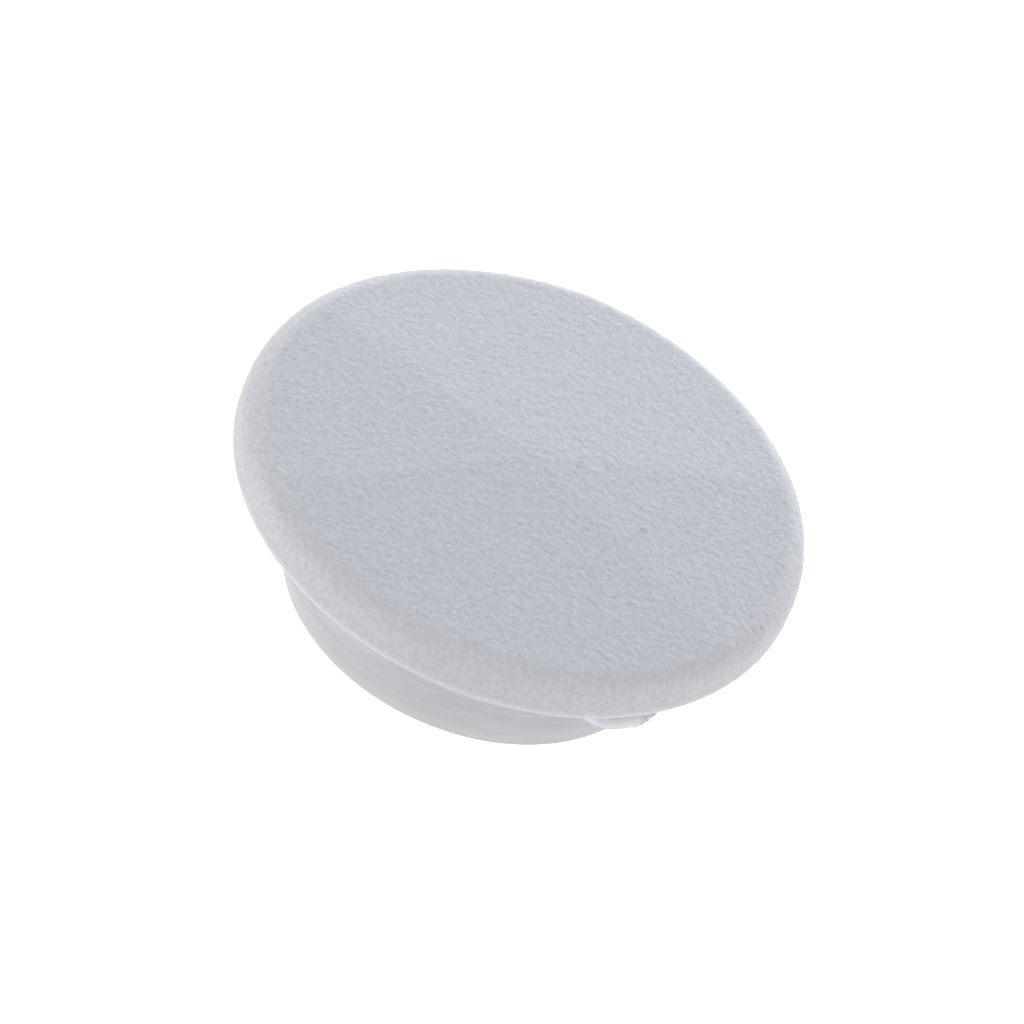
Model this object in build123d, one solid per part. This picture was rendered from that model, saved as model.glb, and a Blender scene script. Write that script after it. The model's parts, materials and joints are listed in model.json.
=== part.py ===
from build123d import *
import math
import os

# Push-in plug that closes a round hole in a panel, moulded in one piece from matt plastic.
# Millimetres. Origin: centre of the seat, the flat underside of the head that lies on the panel.
# +Z points out of the panel through the head, and the hollow skirt goes into the hole, towards -Z.

# Hole and skirt
hole_diameter = 12.0
press_interference = 0.4  # how much wider the skirt is than the hole, on the diameter
skirt_length = 4.3  # seat to foot
skirt_wall = 1.0  # at the foot
bore_draft = 0.5  # degrees, the hollow narrows towards the head so that it leaves its core
lead_in_round = 0.4  # outer edge of the foot, which finds the hole
foot_chamfer = 0.2  # inner edge of the foot

# Head
flange_overhang = 2.8  # how far the head reaches past the skirt all round
edge_height = 1.5  # seat to the corner of side and crown, before that corner is rounded
edge_round = 0.78
seat_edge_round = 0.25  # lower edge of the head's side
crown_slope = 3.2  # degrees, the top is a very flat cone
crown_nose_radius = 14.0  # blunts the cone's tip
head_wall = 1.35  # corner height down to the roof of the hollow
roof_round = 0.5  # inner corner between the hollow's roof and wall

# Gate stub, the bit of the runner that is left under the head's edge
stub_direction = 311.0  # degrees from +X towards +Y, the middle of its foot
stub_height = 0.75  # below the seat
stub_foot_width = 1.2
stub_long_flank = 1.3  # how far the cut flank runs out, across the stub
stub_torn_flank = 0.6  # the same for the torn flank
stub_depth = 1.2  # from its outer face in towards the skirt
stub_ledge = 0.05  # seat left between the stub's outer face and the edge round

skirt_radius = (hole_diameter + press_interference) / 2
foot_bore_radius = skirt_radius - skirt_wall
head_radius = skirt_radius + flange_overhang
roof_height = edge_height - head_wall
roof_bore_radius = foot_bore_radius - (skirt_length + roof_height) * math.tan(math.radians(bore_draft))
stub_face_radius = head_radius - seat_edge_round - stub_ledge


def crown_nose():
    """Blunt tip of the crown, from the axis out to where the cone takes over."""
    cone_apex = edge_height + head_radius * math.tan(math.radians(crown_slope))
    centre_height = cone_apex - crown_nose_radius / math.cos(math.radians(crown_slope))
    return CenterArc((0, centre_height), crown_nose_radius, 90, -crown_slope)


def half_section():
    """Right half of the section through the axis: crown, side, seat, skirt and hollow."""
    with BuildSketch(Plane.XZ) as section:
        with BuildLine():
            nose = crown_nose()
            walls = FilletPolyline(
                nose @ 1,
                (head_radius, edge_height),
                (head_radius, 0),
                (skirt_radius, 0),
                (skirt_radius, -skirt_length),
                (foot_bore_radius + foot_chamfer, -skirt_length),
                (foot_bore_radius, foot_chamfer - skirt_length),
                (roof_bore_radius, roof_height),
                (0, roof_height),
                radius=[edge_round, seat_edge_round, 0, lead_in_round, 0, 0, roof_round],
            )
            Line(walls @ 1, nose @ 0)
        make_face()
    return section.sketch


def turned_body():
    """Head and skirt, which are round all the way about the axis."""
    return revolve(half_section(), axis=Axis.Z)


def gate_stub():
    """Stub with a flat foot and two sloped flanks, its outer face flush with the round head."""
    half_foot = stub_foot_width / 2
    inside_head = edge_height / 3
    facing_out = Plane(origin=(head_radius, 0, 0), x_dir=(0, 1, 0), z_dir=(1, 0, 0))
    with BuildSketch(facing_out) as section:
        with BuildLine():
            Polyline(
                (-half_foot - stub_long_flank, inside_head),
                (-half_foot - stub_long_flank, 0),
                (-half_foot, -stub_height),
                (half_foot, -stub_height),
                (half_foot + stub_torn_flank, 0),
                (half_foot + stub_torn_flank, inside_head),
                close=True,
            )
        make_face()
    block = extrude(section.sketch, amount=stub_face_radius - stub_depth - head_radius)
    round_end = Cylinder(stub_face_radius, 2 * (stub_height + inside_head))
    return Rot(0, 0, stub_direction) * (block & round_end)


hole_plug = turned_body() + gate_stub()

os.makedirs("parts", exist_ok=True)
export_step(hole_plug, "parts/hole_plug.step")
print("hole_plug", hole_plug.bounding_box().size, "volume", round(hole_plug.volume, 1), "mm3")
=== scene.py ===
import bpy
import json
import math
from mathutils import Matrix, Vector, noise


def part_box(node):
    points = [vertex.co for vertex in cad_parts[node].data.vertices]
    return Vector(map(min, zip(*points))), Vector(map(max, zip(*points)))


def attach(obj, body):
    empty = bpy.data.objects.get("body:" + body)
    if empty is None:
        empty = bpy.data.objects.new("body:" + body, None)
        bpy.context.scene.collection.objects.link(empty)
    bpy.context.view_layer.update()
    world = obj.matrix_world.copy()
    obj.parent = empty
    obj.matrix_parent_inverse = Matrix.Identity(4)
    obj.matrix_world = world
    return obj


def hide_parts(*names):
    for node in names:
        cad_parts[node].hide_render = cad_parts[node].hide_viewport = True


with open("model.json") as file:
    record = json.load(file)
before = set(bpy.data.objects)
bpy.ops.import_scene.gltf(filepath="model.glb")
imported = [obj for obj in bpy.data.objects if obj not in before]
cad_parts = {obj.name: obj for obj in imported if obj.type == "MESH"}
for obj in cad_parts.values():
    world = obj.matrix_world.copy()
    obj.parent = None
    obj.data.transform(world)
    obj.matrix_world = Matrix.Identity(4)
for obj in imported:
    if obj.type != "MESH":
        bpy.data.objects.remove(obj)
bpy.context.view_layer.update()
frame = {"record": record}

# Push-in hole plug, one moulding in pale grey plastic: a head with a fine mould texture, a smooth skirt and
# what is left of the gate. In the dictionaries sizes are in millimetres and angles in degrees, and Blender
# works in metres.

mm = 0.001
white = (1.0, 1.0, 1.0, 1.0)


def linearColour(hexText):
    # undoes the sRGB curve
    channels = [int(hexText[i:i + 2], 16) / 255 for i in (1, 3, 5)]
    return tuple(c / 12.92 if c <= 0.04045 else ((c + 0.055) / 1.055) ** 2.4 for c in channels) + (1.0,)


def addNode(tree, kind, inputs=None, **settings):
    # inputs: socket name or number -> a value, or another node's output
    node = tree.nodes.new(kind)
    for name, value in settings.items():
        setattr(node, name, value)
    for name, value in (inputs or {}).items():
        if isinstance(value, bpy.types.NodeSocket):
            tree.links.new(value, node.inputs[name])
        else:
            node.inputs[name].default_value = value
    return node


def addObject(name, points, faces):
    mesh = bpy.data.meshes.new(name)
    mesh.from_pydata(points, [], faces)
    mesh.validate()
    piece = bpy.data.objects.new(name, mesh)
    bpy.context.scene.collection.objects.link(piece)
    return piece


# Camera: it looks down over the head from the -Y side and is turned on its own axis

camera = {
    "elevation": 41.48,      # above the head's plane
    "roll": 23.32,           # the far side of the head leans to the right
    "distance": 449.7,
    "aim": (0.025, -0.348, 0.006),
    "focalLength": 519.6,
    "sensor": 36.0,
    "nearest": 10.0,         # what is nearer or farther than these two isn't drawn
    "farthest": 20000.0,
}


def makeCamera():
    data = bpy.data.cameras.new("camera")
    data.lens = camera["focalLength"]
    data.sensor_width = camera["sensor"]
    data.sensor_fit = "HORIZONTAL"
    data.clip_start = camera["nearest"] * mm
    data.clip_end = camera["farthest"] * mm
    shot = bpy.data.objects.new("camera", data)
    bpy.context.scene.collection.objects.link(shot)
    tilt = Matrix.Rotation(math.radians(90 - camera["elevation"]), 4, "X")
    roll = Matrix.Rotation(math.radians(camera["roll"]), 4, "Z")
    back = Matrix.Translation((0, 0, camera["distance"] * mm))
    shot.matrix_world = Matrix.Translation(Vector(camera["aim"]) * mm) @ tilt @ back @ roll
    bpy.context.scene.camera = shot
    print("camera ready")


# Plug body: a section turned about the axis as rings of points, closer together where the texture is

mounts = {mount["name"]: mount for mount in frame["record"]["mounts"]}
lowCorner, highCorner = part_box("hole_plug")

plug = {
    "headRadius": highCorner.x / mm,
    "footHeight": lowCorner.z / mm,
    "skirtRadius": mounts["skirt"]["dims"]["r_mm"],
    "crownSlope": 4.1,       # of the very flat cone that the crown is worked out from
    "crownNoseRadius": 14.0,  # blunts its tip
    # the crown is nearly flat fields with shallow ridges between them, which run out from the tip
    "ridges": [29, 93, 158, 217, 275, 333],  # from +X towards +Y
    "ridgeSlope": 3.7,
    "edgeHeight": 1.5,       # corner of side and crown, before rounding
    "edgeRound": 0.78,
    "seatEdgeRound": 0.25,   # lower edge of the head
    "skirtWall": 1.0,        # at the foot
    "leadInRound": 0.4,
    "footChamfer": 0.2,
    "boreDraft": 0.5,
    "headWall": 1.35,        # from the corner of side and crown down to the hollow's roof
    "roofRound": 0.5,
    # the longest way from one point of the section to the next
    "grainStep": 0.067,      # on the textured head, where it also holds round the rings
    "seatStep": 0.4,
    "skirtStep": 0.5,
    "leadInStep": 0.08,
    "footStep": 0.2,
    "boreStep": 0.6,
    "roofRoundStep": 0.1,
    "roofStep": 0.8,
    "plainPoints": 240,      # round each smooth ring
    "creaseAngle": 35.0,     # an edge sharper than this is drawn sharp
}

grain = {
    "bumpSize": 0.21,        # spark-eroded mould texture, width of a bump
    "bumpHeight": 0.0165,
    "bumpRate": 1.1,         # waves of noise in the width of a bump
    "pebbleRate": 1.9,       # smaller bumps among them
    "pebbleShare": 0.4,
    "pebbleShift": (7.3, 2.1, 5.5),
    "waveSize": 0.45,        # slow unevenness under the bumps
    "waveHeight": 0.005,
    "fadeFrom": 0.02,        # height above the seat where the texture starts
    "fadeOver": 0.15,        # and how much higher it is full
}


def lineStations(start, end, step):
    count = max(1, math.ceil(math.dist(start, end) / step))
    return [(start[0] + (end[0] - start[0]) * i / count, start[1] + (end[1] - start[1]) * i / count)
            for i in range(count + 1)]


def arcStations(centre, radius, startAngle, endAngle, step):
    count = max(2, math.ceil(abs(math.radians(endAngle - startAngle)) * radius / step))
    angles = [math.radians(startAngle + (endAngle - startAngle) * i / count) for i in range(count + 1)]
    return [(centre[0] + radius * math.cos(a), centre[1] + radius * math.sin(a)) for a in angles]


def texturedStations():
    # (distance from axis, height) from the crown's tip out, down the head's side and round its lower edge
    p = plug
    outer, edgeRound, seatRound, step = p["headRadius"], p["edgeRound"], p["seatEdgeRound"], p["grainStep"]
    slope = math.radians(p["crownSlope"])
    apex = p["edgeHeight"] + outer * math.tan(slope)
    noseCentre = (0, apex - p["crownNoseRadius"] / math.cos(slope))
    edgeCentre = (outer - edgeRound, p["edgeHeight"] - edgeRound * math.tan((math.pi / 2 - slope) / 2))
    coneEnd = (edgeCentre[0] + edgeRound * math.sin(slope), edgeCentre[1] + edgeRound * math.cos(slope))
    stations = arcStations(noseCentre, p["crownNoseRadius"], 90, 90 - p["crownSlope"], step)
    stations += lineStations(stations[-1], coneEnd, step)[1:]
    stations += arcStations(edgeCentre, edgeRound, 90 - p["crownSlope"], 0, step)[1:]
    stations += lineStations(stations[-1], (outer, seatRound), step)[1:]
    stations += arcStations((outer - seatRound, seatRound), seatRound, 0, -90, step / 2)[1:]
    return stations


def smoothStations():
    # (distance from axis, height) in under the head, down the skirt, up its bore and along the hollow's roof
    p = plug
    skirt, foot, leadIn, roofRound = p["skirtRadius"], p["footHeight"], p["leadInRound"], p["roofRound"]
    bore = skirt - p["skirtWall"]
    roof = p["edgeHeight"] - p["headWall"]
    roofBore = bore - (roof - foot) * math.tan(math.radians(p["boreDraft"]))
    stations = lineStations((p["headRadius"] - p["seatEdgeRound"], 0), (skirt, 0), p["seatStep"])[1:]
    stations += lineStations((skirt, 0), (skirt, foot + leadIn), p["skirtStep"])[1:]
    stations += arcStations((skirt - leadIn, foot + leadIn), leadIn, 0, -90, p["leadInStep"])[1:]
    stations += lineStations((skirt - leadIn, foot), (bore + p["footChamfer"], foot), p["footStep"])[1:]
    stations += [(bore, foot + p["footChamfer"])]
    stations += lineStations(stations[-1], (roofBore, roof - roofRound), p["boreStep"])[1:]
    roofCentre = (roofBore - roofRound, roof - roofRound)
    stations += arcStations(roofCentre, roofRound, 0, 90, p["roofRoundStep"])[1:]
    stations += lineStations(stations[-1], (0, roof), p["roofStep"])[1:]
    return stations


def plugRings():
    # (distance from axis, height, points round the ring, textured) from the crown's tip to the hollow's roof
    rings = [(r, z, max(1, round(2 * math.pi * r / plug["grainStep"])), True) for r, z in texturedStations()]
    rings += [(r, z, plug["plainPoints"] if r > 0 else 1, False) for r, z in smoothStations()]
    return rings


def fieldLift(x, y):
    # how far the crown stands above its cone: a field is the plane through the ridges on its two sides
    ridges = plug["ridges"]
    turn = math.degrees(math.atan2(y, x)) % 360
    start = max([ridge for ridge in ridges if ridge <= turn], default=ridges[-1])
    end = ridges[(ridges.index(start) + 1) % len(ridges)]
    half = (end - start) % 360 / 2
    fromMiddle = (turn - start) % 360 - half
    fieldSlope = math.tan(math.radians(plug["ridgeSlope"])) / math.cos(math.radians(half))
    coneSlope = math.tan(math.radians(plug["crownSlope"]))
    return math.hypot(x, y) * (coneSlope - fieldSlope * math.cos(math.radians(fromMiddle)))


def crownHeight(x, y):
    # height of the head's top, its rounded edge included
    r = math.hypot(x, y)
    height = plug["edgeHeight"] + (plug["headRadius"] - r) * math.tan(math.radians(plug["crownSlope"]))
    intoRound = max(0.0, r - plug["headRadius"] + plug["edgeRound"]) / plug["edgeRound"]
    upright = math.sqrt(1 - intoRound ** 2)
    return height - plug["edgeRound"] * (1 - upright) + fieldLift(x, y) * upright


def stitch(first, second):
    # triangles between two rings of points, walking round both together; a ring of one point is a tip
    firstSteps, secondSteps = (len(ring) if len(ring) > 1 else 0 for ring in (first, second))
    faces = []
    i, j = 0, 0
    while i < firstSteps or j < secondSteps:
        a, b = first[i % len(first)], second[j % len(second)]
        if j == secondSteps or i < firstSteps and (i + 1) / firstSteps <= (j + 1) / secondSteps:
            faces.append((a, b, first[(i + 1) % len(first)]))
            i += 1
        else:
            faces.append((a, b, second[(j + 1) % len(second)]))
            j += 1
    return faces


def grainHeight(point):
    # point in mm on the surface, answer in mm along the normal
    bump = noise.noise(point / grain["bumpSize"] * grain["bumpRate"])
    pebble = noise.noise(point / grain["bumpSize"] * grain["pebbleRate"] + Vector(grain["pebbleShift"]))
    wave = noise.noise(point / grain["waveSize"])
    return grain["bumpHeight"] * (bump + grain["pebbleShare"] * pebble) + grain["waveHeight"] * wave


def makeBody():
    rings = plugRings()
    points, faces, rows = [], [], []
    for k, (r, z, count, textured) in enumerate(rings):
        before, after = rings[max(k - 1, 0)], rings[min(k + 1, len(rings) - 1)]
        along = Vector((after[0] - before[0], after[1] - before[1])).normalized()
        outward, upward = -along.y, along.x  # the surface's normal in the section
        fade = min(1.0, max(0.0, (z - grain["fadeFrom"]) / grain["fadeOver"]))
        row = []
        for i in range(count):
            angle = 2 * math.pi * i / count
            direction = Vector((math.cos(angle), math.sin(angle), 0))
            point = direction * r + Vector((0, 0, z))
            if textured:
                point.z += fieldLift(point.x, point.y) * max(0.0, upward)
                point += (direction * outward + Vector((0, 0, upward))) * grainHeight(point) * fade
            row.append(len(points))
            points.append(point * mm)
        rows.append(row)
    for first, second in zip(rows, rows[1:]):
        faces += stitch(first, second)
    print("body ready,", len(faces), "triangles")
    return addObject("plug", points, faces)


# Gate stub: what is left of the runner under the head's edge, cut smooth on one side and torn on the other

stub = {
    "direction": 311.0,      # from +X towards +Y
    "faceSetback": 0.3,      # from the head's side in to the stub's outer face
    "depth": 1.2,
    "root": 0.25,            # how far it reaches up into the head
    "edgeRound": 0.16,       # lower outer edge
    # its lower edge from the cut side to the torn side: (across, height)
    "lowerEdge": [(-1.9, 0.0), (-1.05, -0.59), (-0.5, -0.79), (0.0, -0.83), (0.68, -0.82),
                  (0.8, -0.6), (1.0, -0.5), (1.15, -0.33), (1.38, 0.0)],
    "leastDrop": 0.001,      # added all along it, so that its ends don't lie in the seat
    "step": 0.04,            # from one section to the next
    "facePoints": 27,        # down the outer face, and up the inner one
    "roundPoints": 6,
    "bottomPoints": 20,
    "tornFrom": 0.2,         # across, where the torn end starts
    "tornOver": 0.4,         # and how much farther on it is torn in full
    "tornDepth": 0.1,
    "cutRoughness": 0.1,     # share of the torn depth that the cut side has
    "roughOver": 0.12,       # the roughness grows over this way down from the seat
    "lumpSize": 0.2,         # the torn end is lumpy, with finer flakes
    "lumpShifts": [(0, 1.7, 0), (3.1, 1.7, 0), (6.2, 1.7, 0)],
    "flakeSize": 0.08,
    "flakeShifts": [(1.3, 0, 0), (1.3, 4.1, 0), (1.3, 8.2, 0)],
    "flakeShare": 0.5,
}


def lowerEdgeAt(across):
    pairs = stub["lowerEdge"]
    for (x0, z0), (x1, z1) in zip(pairs, pairs[1:]):
        if across <= x1:
            return z0 + (z1 - z0) * (across - x0) / (x1 - x0)
    return pairs[-1][1]


def stubLoop(bottom):
    # (inward, height) round one section: down the face, round its edge, in along the bottom and back up
    rounding = min(stub["edgeRound"], (stub["root"] - bottom) / 2)
    down, inside, depth = stub["facePoints"], stub["bottomPoints"], stub["depth"]
    top, edge = stub["root"], bottom + rounding
    loop = [(0.0, top + (edge - top) * i / down) for i in range(down)]
    turns = [math.pi / 2 * i / stub["roundPoints"] for i in range(stub["roundPoints"] + 1)]
    loop += [(-rounding * (1 - math.cos(a)), edge - rounding * math.sin(a)) for a in turns]
    loop += [(-rounding - (depth - rounding) * i / inside, bottom) for i in range(1, inside)]
    loop += [(-depth, bottom + (top - bottom) * i / down) for i in range(down)]
    loop += [(-depth * (1 - i / inside), top) for i in range(inside)]
    return loop


def raggedness(point, size, shifts):
    # a different noise for each of the three directions
    return Vector([noise.noise(point / size + Vector(shift)) for shift in shifts])


def makeStub():
    faceRadius = plug["headRadius"] - stub["faceSetback"]
    first, last = stub["lowerEdge"][0][0], stub["lowerEdge"][-1][0]
    columns = math.ceil((last - first) / stub["step"])
    points, faces, rows = [], [], []
    for c in range(columns + 1):
        across = first + (last - first) * c / columns
        angle = math.radians(stub["direction"]) + across / faceRadius
        direction = Vector((math.cos(angle), math.sin(angle), 0))
        torn = min(1.0, max(0.0, (across - stub["tornFrom"]) / stub["tornOver"]))
        row = []
        for inward, height in stubLoop(lowerEdgeAt(across) - stub["leastDrop"]):
            point = direction * (faceRadius + inward) + Vector((0, 0, height))
            if height < 0:
                rough = raggedness(point, stub["lumpSize"], stub["lumpShifts"])
                rough += stub["flakeShare"] * raggedness(point, stub["flakeSize"], stub["flakeShifts"])
                rough *= stub["tornDepth"]
                rough *= stub["cutRoughness"] + torn
                point += rough * min(1.0, -height / stub["roughOver"])
            row.append(len(points))
            points.append(point * mm)
        rows.append(row)
    for one, other in zip(rows, rows[1:]):
        count = len(one)
        faces += [(one[i], one[(i + 1) % count], other[(i + 1) % count], other[i]) for i in range(count)]
    faces += [tuple(reversed(rows[0])), tuple(rows[-1])]
    print("stub ready,", len(faces), "faces")
    return addObject("gateStub", points, faces)


def join(body, piece):
    union = body.modifiers.new("union", "BOOLEAN")
    union.operation = "UNION"
    union.solver = "MANIFOLD"
    union.object = piece
    bpy.context.view_layer.update()
    joined = bpy.data.meshes.new_from_object(body.evaluated_get(bpy.context.evaluated_depsgraph_get()))
    body.modifiers.clear()
    body.data = joined
    bpy.data.objects.remove(piece)
    for face in joined.polygons:
        face.use_smooth = True
    joined.set_sharp_from_angle(angle=math.radians(plug["creaseAngle"]))
    print("stub joined,", len(joined.polygons), "faces")


# Finish of the whole plug

plastic = {
    "pitColour": "#AEB3B9",      # painted shade at the bottom of the grain's pits, over random tone in the grain
    "tipColour": "#CCD1D8",
    "pitSize": 0.15,
    "pitDetail": 1.5,
    "darkStreak": "#ADB3BC",     # turning marks round the skirt
    "paleStreak": "#CCD2DB",
    "streakSize": 0.25,
    "streakDetail": 2.0,
    "streakStretch": (0.12, 0.12, 1.0),  # draws the noise out round the axis
    "texturedFrom": 0.05,        # height above the seat where the streaks give way to the grain
    "texturedTo": 0.25,
    "fineGrainSize": 0.16,
    "fineGrainDetail": 1.0,
    "fineGrainHeight": 0.03,
    "roughness": 0.65,
    "ior": 1.51,
    "glowWeight": 0.25,          # share of the light that goes in and comes out again close by
    "glowReach": (0.5, 0.45, 0.4),
}

# the stub's cut edge runs straight from its lower edge's first point to the second
(cutX, cutZ), (kneeX, kneeZ) = stub["lowerEdge"][:2]
cutSlope = (cutZ - kneeZ) / (kneeX - cutX)
cutLevel = cutX * cutSlope
outer = plug["headRadius"]
foot = plug["footHeight"]
skirt = plug["skirtRadius"]
# below the seat and outside the skirt there is nothing but the stub
onStub = [("radius", skirt + 0.9, skirt + 1.1), ("height", -0.002, -0.02)]

# colours over the plain plastic, in the order that they are laid on. Each covers the place where all its
# limits hold: what is measured, where the colour starts to show and where it is full
layers = {
    "thinRim": {
        "colour": "#D4D7DA",     # painted light: paler colour stands in for the light caught at the head's lower edge
        "share": 1.0,
        "limits": [("radius", outer - 0.3, outer - 0.2), ("height", 0.42, 0.1)],
    },
    "thinFoot": {
        # painted light: paler towards the foot, standing in for light at the skirt's lower edge
        "colour": "#D4D7DA",
        "share": 1.0,
        "limits": [("height", foot + 1.25, foot - 0.4)],
    },
    "rubbedEdge": {
        "colour": "#D9D5D7",     # painted light: a paler ring where the head's top turns over into its edge
        "share": 0.2,
        "limits": [("radius", outer - 0.8, outer - 0.55), ("radius", outer - 0.22, outer - 0.48),
                   ("height", 0.9, 1.1)],
    },
    "stubFace": {
        "colour": "#E0E4E8",     # painted light: the stub paler, most of all at its lower edge
        "share": 1.0,
        "limits": onStub + [("height", -0.1, -0.9)],
    },
    "stubCorner": {
        "colour": "#A9ACB2",     # shade under the head
        "share": 1.0,
        "limits": onStub + [("across", -0.8, -0.4), ("height", -0.3, -0.2)],
    },
    "tornEnd": {
        "colour": "#BDBABE",     # painted shade: dark spots on the torn end, following the grain's pits noise
        "share": 1.0,
        "limits": onStub + [("across", 0.45, 0.65), ("pits", 0.42, 0.6)],
    },
    "cutEdge": {
        "colour": "#D8DBE9",     # painted highlight: a pale bluish band along the stub's cut edge
        "share": 1.0,
        "limits": onStub + [("aboveCut", cutLevel + 0.42, cutLevel + 0.14)],
    },
}

marks = {
    "colour": "#86817C",
    "core": 0.2,                 # share of a mark's radius where it is full
    # handling marks on the head: specks of dirt and a short scratch, (x, y, radius, strength)
    "spots": [(3.9, -0.88, 0.2, 0.38), (8.33, -2.3, 0.12, 0.36), (-8.28, 0.64, 0.12, 0.4),
              (2.31, -1.88, 0.14, 0.32), (2.22, 1.03, 0.15, 0.16), (-6.36, -5.95, 0.1, 0.25),
              (1.07, 1.65, 0.12, 0.22), (1.16, 1.32, 0.12, 0.18), (1.3, 0.91, 0.12, 0.22),
              (1.37, 0.65, 0.14, 0.26), (1.38, 0.48, 0.18, 0.32)],
}


def plugMeasures(tree, where):
    # what the layers' limits count along, in mm; aboveCut is the height over the line of the stub's cut edge
    turn = math.radians(stub["direction"])
    x, y = -math.sin(turn), math.cos(turn)
    directions = {"height": (0, 0, 1), "across": (x, y, 0), "aboveCut": (x * cutSlope, y * cutSlope, 1)}
    measures = {}
    for name, direction in directions.items():
        along = addNode(tree, "ShaderNodeVectorMath", {0: where, 1: direction}, operation="DOT_PRODUCT")
        measures[name] = along.outputs["Value"]
    flat = addNode(tree, "ShaderNodeVectorMath", {0: where, 1: (1, 1, 0)}, operation="MULTIPLY")
    radius = addNode(tree, "ShaderNodeVectorMath", {0: flat.outputs["Vector"]}, operation="LENGTH")
    measures["radius"] = radius.outputs["Value"]
    return measures


def plainColour(tree, where, pits, onHead):
    # light and dark in the grain, its darker pits painted shade; round the skirt it is drawn out into the
    # mould's turning marks
    stretched = addNode(tree, "ShaderNodeVectorMath", {0: where, 1: plastic["streakStretch"]},
                        operation="MULTIPLY")
    streaks = addNode(tree, "ShaderNodeTexNoise", {
        "Vector": stretched.outputs["Vector"],
        "Scale": 1 / plastic["streakSize"],
        "Detail": plastic["streakDetail"],
    })
    # a Mix node has its two colours at 6 and 7 and gives the mixed one at 2
    grained = addNode(tree, "ShaderNodeMix", {
        "Factor": pits,
        6: linearColour(plastic["pitColour"]),
        7: linearColour(plastic["tipColour"]),
    }, data_type="RGBA")
    turned = addNode(tree, "ShaderNodeMix", {
        "Factor": streaks.outputs["Fac"],
        6: linearColour(plastic["darkStreak"]),
        7: linearColour(plastic["paleStreak"]),
    }, data_type="RGBA")
    both = addNode(tree, "ShaderNodeMix", {
        "Factor": onHead,
        6: turned.outputs[2],
        7: grained.outputs[2],
    }, data_type="RGBA")
    return both.outputs[2]


def layeredColour(tree, colour, measures):
    for layer in layers.values():
        share = layer["share"]
        for name, start, end in layer["limits"]:
            limit = addNode(tree, "ShaderNodeMapRange", {
                "Value": measures[name],
                "From Min": start,
                "From Max": end,
            }, interpolation_type="LINEAR" if name == "pits" else "SMOOTHSTEP")
            share = addNode(tree, "ShaderNodeMath", {0: limit.outputs["Result"], 1: share},
                            operation="MULTIPLY").outputs["Value"]
        colour = addNode(tree, "ShaderNodeMix", {
            "Factor": share,
            6: colour,
            7: linearColour(layer["colour"]),
        }, data_type="RGBA").outputs[2]
    return colour


def markedColour(tree, colour, where):
    for x, y, radius, strength in marks["spots"]:
        middle = (x, y, crownHeight(x, y))
        away = addNode(tree, "ShaderNodeVectorMath", {0: where, 1: middle}, operation="DISTANCE")
        share = addNode(tree, "ShaderNodeMapRange", {
            "Value": away.outputs["Value"],
            "From Min": radius,
            "From Max": marks["core"] * radius,
            "To Max": strength,
        }, interpolation_type="SMOOTHSTEP")
        colour = addNode(tree, "ShaderNodeMix", {
            "Factor": share.outputs["Result"],
            6: colour,
            7: linearColour(marks["colour"]),
        }, data_type="RGBA").outputs[2]
    return colour


def mouldedPolyethylene():
    # polyethylene from a spark-eroded mould: dry, even sheen, a touch of light goes in at the edges
    material = bpy.data.materials.new("moulded polyethylene")
    material.use_nodes = True
    tree = material.node_tree
    tree.nodes.clear()
    position = addNode(tree, "ShaderNodeTexCoord").outputs["Object"]
    where = addNode(tree, "ShaderNodeVectorMath", {0: position, 1: (1 / mm, 1 / mm, 1 / mm)},
                    operation="MULTIPLY").outputs["Vector"]
    measures = plugMeasures(tree, where)
    measures["pits"] = addNode(tree, "ShaderNodeTexNoise", {
        "Vector": where,
        "Scale": 1 / plastic["pitSize"],
        "Detail": plastic["pitDetail"],
    }).outputs["Fac"]
    onHead = addNode(tree, "ShaderNodeMapRange", {
        "Value": measures["height"],
        "From Min": plastic["texturedFrom"],
        "From Max": plastic["texturedTo"],
    }, interpolation_type="SMOOTHSTEP").outputs["Result"]
    colour = plainColour(tree, where, measures["pits"], onHead)
    colour = layeredColour(tree, colour, measures)
    colour = markedColour(tree, colour, where)
    # the finest part of the mould texture is too small for the mesh; only the head has it
    fineGrain = addNode(tree, "ShaderNodeTexNoise", {
        "Vector": where,
        "Scale": 1 / plastic["fineGrainSize"],
        "Detail": plastic["fineGrainDetail"],
    })
    bump = addNode(tree, "ShaderNodeBump", {
        "Strength": onHead,
        "Height": fineGrain.outputs["Fac"],
        "Distance": plastic["fineGrainHeight"] * mm,
    })
    surface = addNode(tree, "ShaderNodeBsdfPrincipled", {
        "Base Color": colour,
        "Roughness": plastic["roughness"],
        "IOR": plastic["ior"],
        "Subsurface Weight": plastic["glowWeight"],
        "Subsurface Radius": plastic["glowReach"],
        "Subsurface Scale": mm,
        "Normal": bump.outputs["Normal"],
    })
    addNode(tree, "ShaderNodeOutputMaterial", {"Surface": surface.outputs["BSDF"]})
    print("plastic ready,", len(tree.nodes), "nodes")
    return material


# Stage and light

stage = {
    "floorColour": "#F4F4F4",
    "floorGlow": 0.75,       # seen by the camera, in gloss and through glass only; the shadow stays in it
    "floorSize": 4000.0,
    "floorGap": 0.01,        # under the foot, so that the two faces don't flicker
    "worldColour": "#FFD8B4",
    "worldLevel": 0.11,
    "lampDistance": 500.0,
}

lamps = {
    # the side it stands on (from +X towards +Y), how far up, its width, height and colour, and its level:
    # 1 lights a white card that faces it to white
    "back": (90, 16, 500, 150, "#FFFFFF", 0.77),
    "backLeft": (150, 40, 300, 300, "#FFFFFF", 0.14),
    "left": (200, 12, 400, 180, "#FFF8EE", 0.34),
    "right": (345, 15, 400, 200, "#FFFBF6", 0.65),
    "frontLeft": (235, 10, 300, 150, "#FFFCF8", 0.44),
    "top": (90, 75, 400, 400, "#DCEEFF", 0.395),
}


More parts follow.
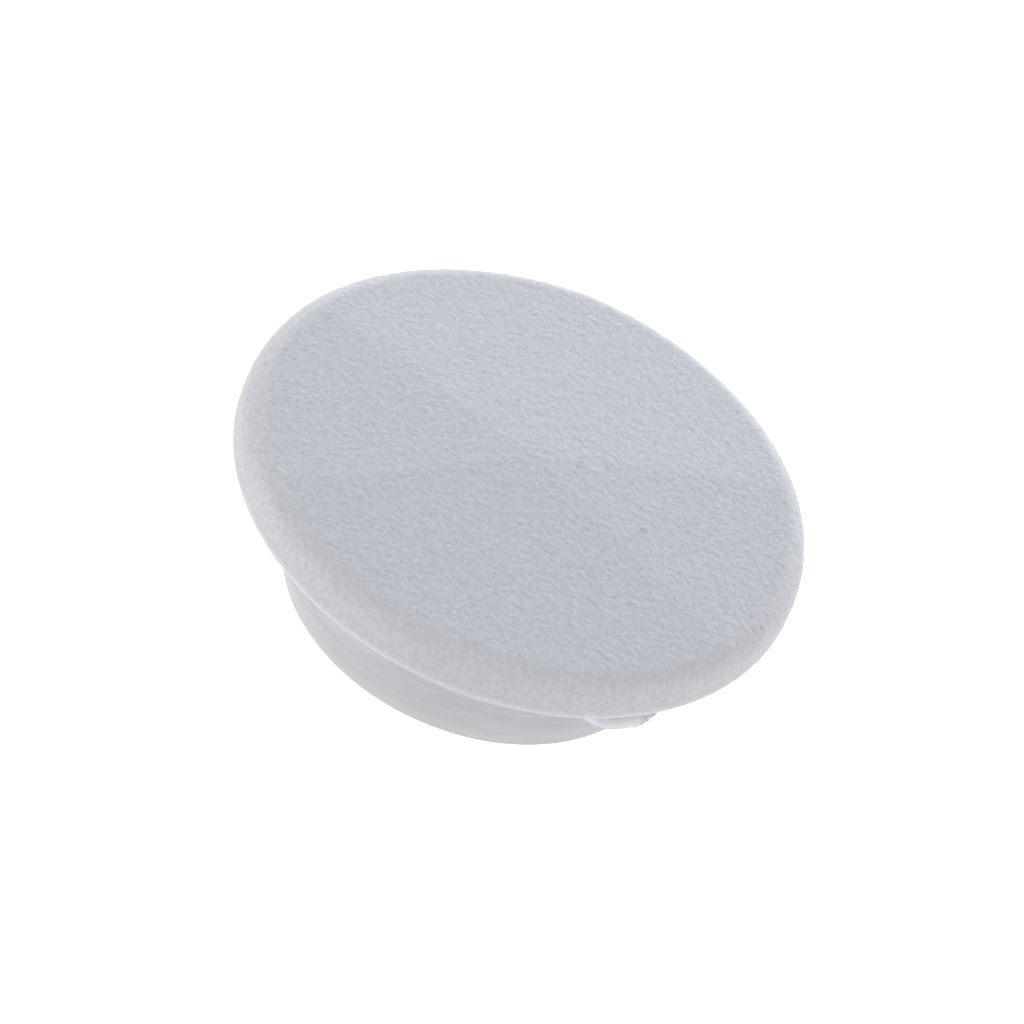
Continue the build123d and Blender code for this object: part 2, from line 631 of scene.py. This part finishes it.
def makeLamps():
    distance = stage["lampDistance"] * mm
    for name, (side, up, width, height, colour, level) in lamps.items():
        data = bpy.data.lights.new(name, "AREA")
        data.shape = "RECTANGLE"
        data.size = width * mm
        data.size_y = height * mm
        data.color = linearColour(colour)[:3]
        data.energy = level * math.pi ** 2 * distance ** 2
        turn = math.radians(side)
        rise = math.radians(up)
        direction = Vector((math.cos(turn) * math.cos(rise), math.sin(turn) * math.cos(rise), math.sin(rise)))
        lamp = bpy.data.objects.new(name, data)
        facing = direction.to_track_quat("Z", "Y").to_matrix().to_4x4()
        lamp.matrix_world = Matrix.Translation(direction * distance) @ facing
        bpy.context.scene.collection.objects.link(lamp)
    print("lamps ready")


def seenDirectly(tree):
    # 1 for rays from the camera and for what gloss and glass show, 0 for the light that falls on things
    path = addNode(tree, "ShaderNodeLightPath")
    seen = path.outputs["Is Camera Ray"]
    for name in ("Is Glossy Ray", "Is Transmission Ray"):
        either = addNode(tree, "ShaderNodeMath", {0: seen, 1: path.outputs[name]}, operation="MAXIMUM")
        seen = either.outputs["Value"]
    return seen


def makeWorld():
    world = bpy.data.worlds.new("studio")
    bpy.context.scene.world = world
    world.use_nodes = True
    tree = world.node_tree
    tree.nodes.clear()
    light = addNode(tree, "ShaderNodeBackground", {
        "Color": linearColour(stage["worldColour"]),
        "Strength": stage["worldLevel"],
    })
    backdrop = addNode(tree, "ShaderNodeBackground", {"Color": white, "Strength": 1.0})
    mix = addNode(tree, "ShaderNodeMixShader", {
        0: seenDirectly(tree),
        1: light.outputs["Background"],
        2: backdrop.outputs["Background"],
    })
    addNode(tree, "ShaderNodeOutputWorld", {"Surface": mix.outputs["Shader"]})
    print("world ready")


def whitePaper():
    # paper: matt, and bright enough to the eye to be a white ground
    material = bpy.data.materials.new("white paper")
    material.use_nodes = True
    tree = material.node_tree
    tree.nodes.clear()
    matt = addNode(tree, "ShaderNodeBsdfDiffuse", {"Color": linearColour(stage["floorColour"])})
    glow = addNode(tree, "ShaderNodeEmission", {"Color": white, "Strength": stage["floorGlow"]})
    both = addNode(tree, "ShaderNodeAddShader", {0: matt.outputs["BSDF"], 1: glow.outputs["Emission"]})
    mix = addNode(tree, "ShaderNodeMixShader", {
        0: seenDirectly(tree),
        1: matt.outputs["BSDF"],
        2: both.outputs["Shader"],
    })
    addNode(tree, "ShaderNodeOutputMaterial", {"Surface": mix.outputs["Shader"]})
    return material


def makeFloor():
    half = stage["floorSize"] / 2 * mm
    height = (plug["footHeight"] - stage["floorGap"]) * mm
    corners = [(-half, -half, height), (half, -half, height), (half, half, height), (-half, half, height)]
    floor = addObject("floor", corners, [(0, 1, 2, 3)])
    floor.data.materials.append(whitePaper())
    print("stage ready")


bpy.context.scene.view_settings.view_transform = "Standard"
makeCamera()
body = makeBody()
join(body, makeStub())
body.data.materials.clear()
body.data.materials.append(mouldedPolyethylene())
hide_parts("hole_plug")
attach(body, "root")
makeWorld()
makeFloor()
makeLamps()
